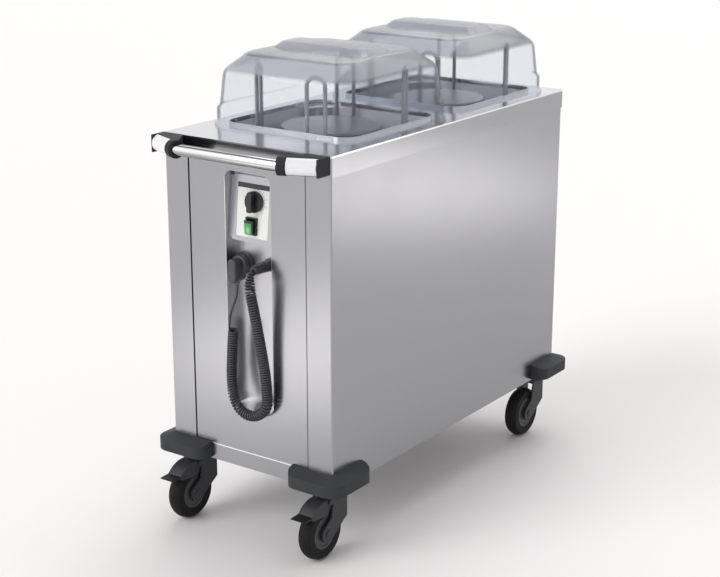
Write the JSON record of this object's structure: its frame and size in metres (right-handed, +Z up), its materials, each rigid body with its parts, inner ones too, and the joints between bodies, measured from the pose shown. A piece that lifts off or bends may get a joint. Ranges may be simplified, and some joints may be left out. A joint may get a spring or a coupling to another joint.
{
  "type": "plate dispenser",
  "caption": "Heated plate dispenser trolley with sprung plate wells under clear hoods, swivelling plate guides, push handle, recessed controls with curly cord and swivel castors.",
  "frame": {"origin": "on the floor under the middle of the object's bounding box, the cord left out", "axes": "+Z up, -Y towards the handle and the controls, +X to the right when facing +Y"},
  "size_m": [0.518, 1.0857, 1.0753],
  "materials": {
    "panel_steel": "satin brushed",
    "deck_steel": "polished",
    "bright_steel": "polished",
    "rod_steel": "satin",
    "inner_steel": "mill",
    "clear_hood": "clear",
    "black_plastic": "fine grain",
    "grey_plastic": "fine grain",
    "white_plastic": "smooth",
    "control_plastic": "smooth",
    "green_plastic": "translucent",
    "cord_rubber": "matt",
    "tyre_rubber": "matt",
    "fork_metal": "powder coat",
    "heater_metal": "mill"
  },
  "bodies": {
    "cabinet": {"base_frame": "panel_steel", "side_panel_left": "panel_steel", "side_panel_right": "panel_steel", "front_panel": "panel_steel", "rear_panel": "panel_steel", "deck": "deck_steel", "control_recess": "panel_steel", "control_face": "control_plastic", "thermostat": "grey_plastic", "switch_housing": "black_plastic", "parking_socket": "grey_plastic", "cable_gland": "grey_plastic", "plug": "grey_plastic", "cord_curl": "cord_rubber", "cord_tail": "cord_rubber", "handle_tube": "bright_steel", "handle_brackets": "black_plastic", "handle_caps": "white_plastic", "bumpers": "grey_plastic", "caster_mounts": "inner_steel", "well_front": "inner_steel", "well_rear": "inner_steel", "lift_columns": "bright_steel", "springs_front": "rod_steel", "springs_rear": "rod_steel", "heaters": "heater_metal"},
    "knob": {"knob": "grey_plastic"},
    "rocker": {"rocker": "green_plastic"},
    "hood_front": {"hood_front": "clear_hood"},
    "lift_front": {"platform_front": "inner_steel", "carriage_front": "inner_steel"},
    "guide_front_1": {"guide_front_1": "rod_steel"},
    "guide_front_2": {"guide_front_2": "rod_steel"},
    "guide_front_3": {"guide_front_3": "rod_steel"},
    "guide_front_4": {"guide_front_4": "rod_steel"},
    "hood_rear": {"hood_rear": "clear_hood"},
    "lift_rear": {"platform_rear": "inner_steel", "carriage_rear": "inner_steel"},
    "guide_rear_1": {"guide_rear_1": "rod_steel"},
    "guide_rear_2": {"guide_rear_2": "rod_steel"},
    "guide_rear_3": {"guide_rear_3": "rod_steel"},
    "guide_rear_4": {"guide_rear_4": "rod_steel"},
    "caster_front_left": {"fork_front_left": "fork_metal", "axle_front_left": "inner_steel"},
    "wheel_front_left": {"hub_front_left": "grey_plastic", "tyre_front_left": "tyre_rubber"},
    "brake_front_left": {"pedal_front_left": "grey_plastic"},
    "caster_front_right": {"fork_front_right": "fork_metal", "axle_front_right": "inner_steel"},
    "wheel_front_right": {"hub_front_right": "grey_plastic", "tyre_front_right": "tyre_rubber"},
    "brake_front_right": {"pedal_front_right": "grey_plastic"},
    "caster_rear_left": {"fork_rear_left": "fork_metal", "axle_rear_left": "inner_steel"},
    "wheel_rear_left": {"hub_rear_left": "grey_plastic", "tyre_rear_left": "tyre_rubber"},
    "caster_rear_right": {"fork_rear_right": "fork_metal", "axle_rear_right": "inner_steel"},
    "wheel_rear_right": {"hub_rear_right": "grey_plastic", "tyre_rear_right": "tyre_rubber"}
  },
  "joints": [
    {"name": "knob_turn", "type": "hinge", "parent": "cabinet", "child": "knob", "pos_m": [0.0085, -0.44382, 0.772], "axis": [0, 0.9945, -0.1045], "range_deg": [0, 270]},
    {"name": "rocker_tip", "type": "hinge", "parent": "cabinet", "child": "rocker", "pos_m": [0.0035, -0.44934, 0.7195], "axis": [-1, 0, 0], "range_deg": [0, 18]},
    {"name": "hood_front_lift", "type": "slide", "parent": "cabinet", "child": "hood_front", "axis": [0, 0, 1], "range_m": [0, 0.3]},
    {"name": "platform_front_lift", "type": "slide", "parent": "cabinet", "child": "lift_front", "axis": [0, 0, 1], "range_m": [-0.43, 0], "stiffness_N_per_m": 620, "springref_m": 0.1, "deforming": ["springs_front"]},
    {"name": "guide_front_1_swivel", "type": "hinge", "parent": "cabinet", "child": "guide_front_1", "pos_m": [0.1589, -0.10512, 0.5], "axis": [0, 0, 1], "range_deg": [0, 85]},
    {"name": "guide_front_2_swivel", "type": "hinge", "parent": "cabinet", "child": "guide_front_2", "pos_m": [-0.05203, 0.00176, 0.5], "axis": [0, 0, 1], "range_deg": [0, 85]},
    {"name": "guide_front_3_swivel", "type": "hinge", "parent": "cabinet", "child": "guide_front_3", "pos_m": [-0.1589, -0.20917, 0.5], "axis": [0, 0, 1], "range_deg": [0, 85]},
    {"name": "guide_front_4_swivel", "type": "hinge", "parent": "cabinet", "child": "guide_front_4", "pos_m": [0.05203, -0.31604, 0.5], "axis": [0, 0, 1], "range_deg": [0, 85]},
    {"name": "hood_rear_lift", "type": "slide", "parent": "cabinet", "child": "hood_rear", "axis": [0, 0, 1], "range_m": [0, 0.3]},
    {"name": "platform_rear_lift", "type": "slide", "parent": "cabinet", "child": "lift_rear", "axis": [0, 0, 1], "range_m": [-0.43, 0], "stiffness_N_per_m": 620, "springref_m": 0.1, "deforming": ["springs_rear"]},
    {"name": "guide_rear_1_swivel", "type": "hinge", "parent": "cabinet", "child": "guide_rear_1", "pos_m": [0.1589, 0.33588, 0.5], "axis": [0, 0, 1], "range_deg": [0, 85]},
    {"name": "guide_rear_2_swivel", "type": "hinge", "parent": "cabinet", "child": "guide_rear_2", "pos_m": [-0.05203, 0.44276, 0.5], "axis": [0, 0, 1], "range_deg": [0, 85]},
    {"name": "guide_rear_3_swivel", "type": "hinge", "parent": "cabinet", "child": "guide_rear_3", "pos_m": [-0.1589, 0.23183, 0.5], "axis": [0, 0, 1], "range_deg": [0, 85]},
    {"name": "guide_rear_4_swivel", "type": "hinge", "parent": "cabinet", "child": "guide_rear_4", "pos_m": [0.05203, 0.12496, 0.5], "axis": [0, 0, 1], "range_deg": [0, 85]},
    {"name": "caster_front_left_swivel", "type": "hinge", "parent": "cabinet", "child": "caster_front_left", "pos_m": [-0.1865, -0.41814, 0.14], "axis": [0, 0, 1], "continuous": true},
    {"name": "wheel_front_left_spin", "type": "hinge", "parent": "caster_front_left", "child": "wheel_front_left", "pos_m": [-0.1865, -0.46114, 0.0625], "axis": [1, 0, 0], "continuous": true},
    {"name": "brake_front_left_press", "type": "hinge", "parent": "caster_front_left", "child": "brake_front_left", "pos_m": [-0.1865, -0.44914, 0.1332], "axis": [1, 0, 0], "range_deg": [0, 5]},
    {"name": "caster_front_right_swivel", "type": "hinge", "parent": "cabinet", "child": "caster_front_right", "pos_m": [0.1865, -0.41814, 0.14], "axis": [0, 0, 1], "continuous": true},
    {"name": "wheel_front_right_spin", "type": "hinge", "parent": "caster_front_right", "child": "wheel_front_right", "pos_m": [0.1865, -0.46114, 0.0625], "axis": [1, 0, 0], "continuous": true},
    {"name": "brake_front_right_press", "type": "hinge", "parent": "caster_front_right", "child": "brake_front_right", "pos_m": [0.1865, -0.44914, 0.1332], "axis": [1, 0, 0], "range_deg": [0, 5]},
    {"name": "caster_rear_left_swivel", "type": "hinge", "parent": "cabinet", "child": "caster_rear_left", "pos_m": [-0.1865, 0.46186, 0.14], "axis": [0, 0, 1], "continuous": true},
    {"name": "wheel_rear_left_spin", "type": "hinge", "parent": "caster_rear_left", "child": "wheel_rear_left", "pos_m": [-0.1865, 0.41886, 0.0625], "axis": [1, 0, 0], "continuous": true},
    {"name": "caster_rear_right_swivel", "type": "hinge", "parent": "cabinet", "child": "caster_rear_right", "pos_m": [0.1865, 0.46186, 0.14], "axis": [0, 0, 1], "continuous": true},
    {"name": "wheel_rear_right_spin", "type": "hinge", "parent": "caster_rear_right", "child": "wheel_rear_right", "pos_m": [0.1865, 0.41886, 0.0625], "axis": [1, 0, 0], "continuous": true}
  ]
}
